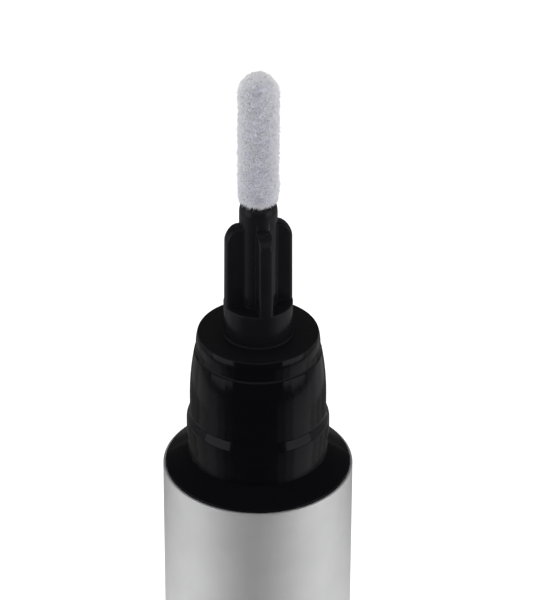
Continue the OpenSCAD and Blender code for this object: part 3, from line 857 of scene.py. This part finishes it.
def add_world():
    """World that looks pure white and lights the pen a little less than that."""
    world = bpy.data.worlds.new("studio")
    bpy.context.scene.world = world
    world.use_nodes = True
    tree = world.node_tree
    soft = tree.nodes["Background"]
    soft.inputs["Color"].default_value = (1, 1, 1, 1)
    soft.inputs["Strength"].default_value = AMBIENT
    white_world = tree.nodes.new("ShaderNodeBackground")
    white_world.inputs["Color"].default_value = (1, 1, 1, 1)
    white_world.inputs["Strength"].default_value = 1.0
    either = tree.nodes.new("ShaderNodeMixShader")
    tree.links.new(seen_rays(tree), either.inputs["Fac"])
    tree.links.new(soft.outputs[0], either.inputs[1])
    tree.links.new(white_world.outputs[0], either.inputs[2])
    tree.links.new(either.outputs[0], tree.nodes["World Output"].inputs["Surface"])


def stage_object(name, points, faces, material):
    mesh = new_mesh(name, points, faces)
    mesh.materials.append(material)
    piece = add_object(name, mesh)
    return piece


def bare_material(name):
    """Material with nothing in it but its output, and its node tree."""
    material = bpy.data.materials.new(name)
    material.use_nodes = True
    tree = material.node_tree
    tree.nodes.remove(tree.nodes["Principled BSDF"])
    return material, tree


def add_floor():
    """Pale floor that takes shadows and looks white where it is fully lit."""
    material, tree = bare_material("floor")
    diffuse = tree.nodes.new("ShaderNodeBsdfDiffuse")
    diffuse.inputs["Color"].default_value = (FLOOR_TONE, FLOOR_TONE, FLOOR_TONE, 1)
    glow = tree.nodes.new("ShaderNodeEmission")
    scale = tree.nodes.new("ShaderNodeMath")
    scale.operation = "MULTIPLY"
    scale.inputs[1].default_value = FLOOR_GLOW
    tree.links.new(seen_rays(tree), scale.inputs[0])
    tree.links.new(scale.outputs[0], glow.inputs["Strength"])
    both = tree.nodes.new("ShaderNodeAddShader")
    tree.links.new(diffuse.outputs[0], both.inputs[0])
    tree.links.new(glow.outputs[0], both.inputs[1])
    tree.links.new(both.outputs[0], tree.nodes["Material Output"].inputs["Surface"])
    rim = circle(FLOOR_R, 0, even_angles(FLOOR_SIDES))
    stage_object("floor", rim, [tuple(range(FLOOR_SIDES))], material)


def card_material(tone):
    """Plain grey of a studio card, from black at 0 to white at 1."""
    material, tree = bare_material("card")
    material.cycles.emission_sampling = "NONE"
    plain = tree.nodes.new("ShaderNodeEmission")
    plain.inputs["Strength"].default_value = tone
    tree.links.new(plain.outputs[0], tree.nodes["Material Output"].inputs["Surface"])
    return material


def add_card(name, points, tone, strip=False):
    """Studio card that only shows in reflections: one face, or a strip between two rows of points."""
    half = len(points) // 2
    outline = [tuple(range(len(points)))]
    quads = [(i, i + 1, half + i + 1, half + i) for i in range(half - 1)]
    card = stage_object(name, points, quads if strip else outline, card_material(tone))
    card.visible_camera = False
    card.visible_diffuse = False
    card.visible_transmission = False
    card.visible_shadow = False


def sweep(r, z, from_deg, to_deg, steps=24):
    """Points around the pen at one radius and height, with angles from the front towards the right."""
    angles = [math.radians(from_deg + (to_deg - from_deg) * i / steps) for i in range(steps + 1)]
    return [(r * math.sin(a), -r * math.cos(a), z) for a in angles]


def floor_cards(name, r0, r1, sectors):
    """Ring of flat cards on the floor, in sectors of start, end and tone."""
    for number, (from_deg, to_deg, tone) in enumerate(sectors):
        outer = sweep(r1, CARD_Z, from_deg, to_deg)
        inner = sweep(r0, CARD_Z, from_deg, to_deg)
        add_card(f"{name}_{number}", outer + inner[::-1], tone)


def wall_cards(name, z0, z1, sectors):
    """Ring of upright cards around the stage, in sectors of start, end and tone."""
    for number, (from_deg, to_deg, tone) in enumerate(sectors):
        low = sweep(TENT_R, z0, from_deg, to_deg)
        high = sweep(TENT_R, z1, from_deg, to_deg)
        add_card(f"{name}_{number}", low + high, tone, strip=True)


def ceiling_card():
    corners = [(-TENT_R, -TENT_R), (TENT_R, -TENT_R), (TENT_R, TENT_R), (-TENT_R, TENT_R)]
    add_card("ceiling", [(x, y, TENT_H) for x, y in corners], CEILING_TONE)


def add_lamp(name, place):
    """Rectangular softbox aimed at the pen, with its strength given as the brightness of its face."""
    data = bpy.data.lights.new(name, "AREA")
    data.shape = "RECTANGLE"
    data.size = LAMP_W * MM
    data.size_y = LAMP_H * MM
    data.energy = LAMP_RADIANCE * math.pi * data.size * data.size_y
    lamp = add_object(name, data)
    lamp.location = Vector(place) * MM
    lamp.rotation_euler = (LAMP_AIM - Vector(place)).to_track_quat("-Z", "Y").to_euler()
    lamp.visible_camera = False
    lamp.visible_glossy = False


add_camera()
add_world()
add_floor()
add_lamp("left_softbox", (-330, -40, 260))
add_lamp("right_softbox", (330, -80, 240))

# Cards on the floor, ring by ring from the pen outwards
floor_cards("inner_card", INNER_R, FOOT_R, [(0, 180, 0.62), (180, 360, 0.62)])
floor_cards("foot_card", FOOT_R, NEAR_R, [
    (-70, -45, 0.87), (-45, -25, 0.6), (-25, -10, 0.35), (-10, 6, 0.16), (6, 20, 0.4),
    (20, 38, 0.73), (38, 62, 0.86), (62, 120, 0.8), (120, 290, 1.0),
])
floor_cards("near_card", NEAR_R, MID_R, [
    (-43, 32, 0.02), (32, 46, 0.13), (46, 60, 0.28), (60, 98, 0.54), (98, 116, 0.3), (116, 135, 0.17),
    (135, 225, 0.08), (225, 245, 0.12), (245, 270, 0.25), (270, 290, 0.33), (290, 303, 0.18),
    (303, 317, 0.06),
])
floor_cards("mid_card", MID_R, BAND_R, [
    (-43, 32, 0.02), (32, 46, 0.13), (46, 60, 0.28), (60, 98, 0.54), (98, 124, 0.42), (124, 150, 0.32),
    (150, 210, 0.1), (210, 240, 0.22), (240, 270, 0.4), (270, 290, 0.35), (290, 303, 0.18),
    (303, 317, 0.06),
])
floor_cards("band_card", BAND_R, PATCH_R, [
    (-43, 43, 0.02), (43, 90, 0.025), (90, 150, 0.2), (150, 210, 0.09), (210, 270, 0.15),
    (270, 317, 0.025),
])
floor_cards("patch_card", PATCH_R, FAR_R, [
    (-43, 57, 0.025), (57, 86, 0.8), (86, 93, 0.04), (93, 102, 0.4), (102, 150, 0.26), (150, 210, 0.1),
    (210, 258, 0.22), (258, 267, 0.4), (267, 274, 0.04), (274, 304, 0.68), (304, 317, 0.025),
])
floor_cards("far_card", FAR_R, TENT_R, [
    (-43, 43, 0.025), (43, 86, 0.9), (86, 102, 0.4), (102, 150, 0.28), (150, 210, 0.1),
    (210, 258, 0.22), (258, 274, 0.4), (274, 317, 0.85),
])

# Walls and ceiling: panels in front, and paler or darker cards at the sides and behind
wall_cards("low_wall", 0, HORIZON_Z, [
    (86, 120, 0.45), (120, 150, 0.2), (150, 210, 0.06), (210, 240, 0.15), (240, 274, 0.4),
])
wall_cards("panel", 0, PANEL_Z, [(-43, 43, 0.025), (43, 86, 1.0), (274, 317, 1.0)])
wall_cards("side_wall", HORIZON_Z, SIDE_TOP_Z, [
    (86, 122, 0.4), (122, 150, 0.05), (150, 210, 0.12), (210, 238, 0.05), (238, 274, 0.4),
])
wall_cards("high_wall", SIDE_TOP_Z, TENT_H, [(86, 150, 0.05), (150, 210, 0.12), (210, 274, 0.05)])
wall_cards("top_wall", PANEL_Z, TENT_H, [(-43, 43, 0.4), (43, 86, 0.35), (274, 317, 0.35)])
ceiling_card()

bpy.context.scene.view_settings.view_transform = "Standard"
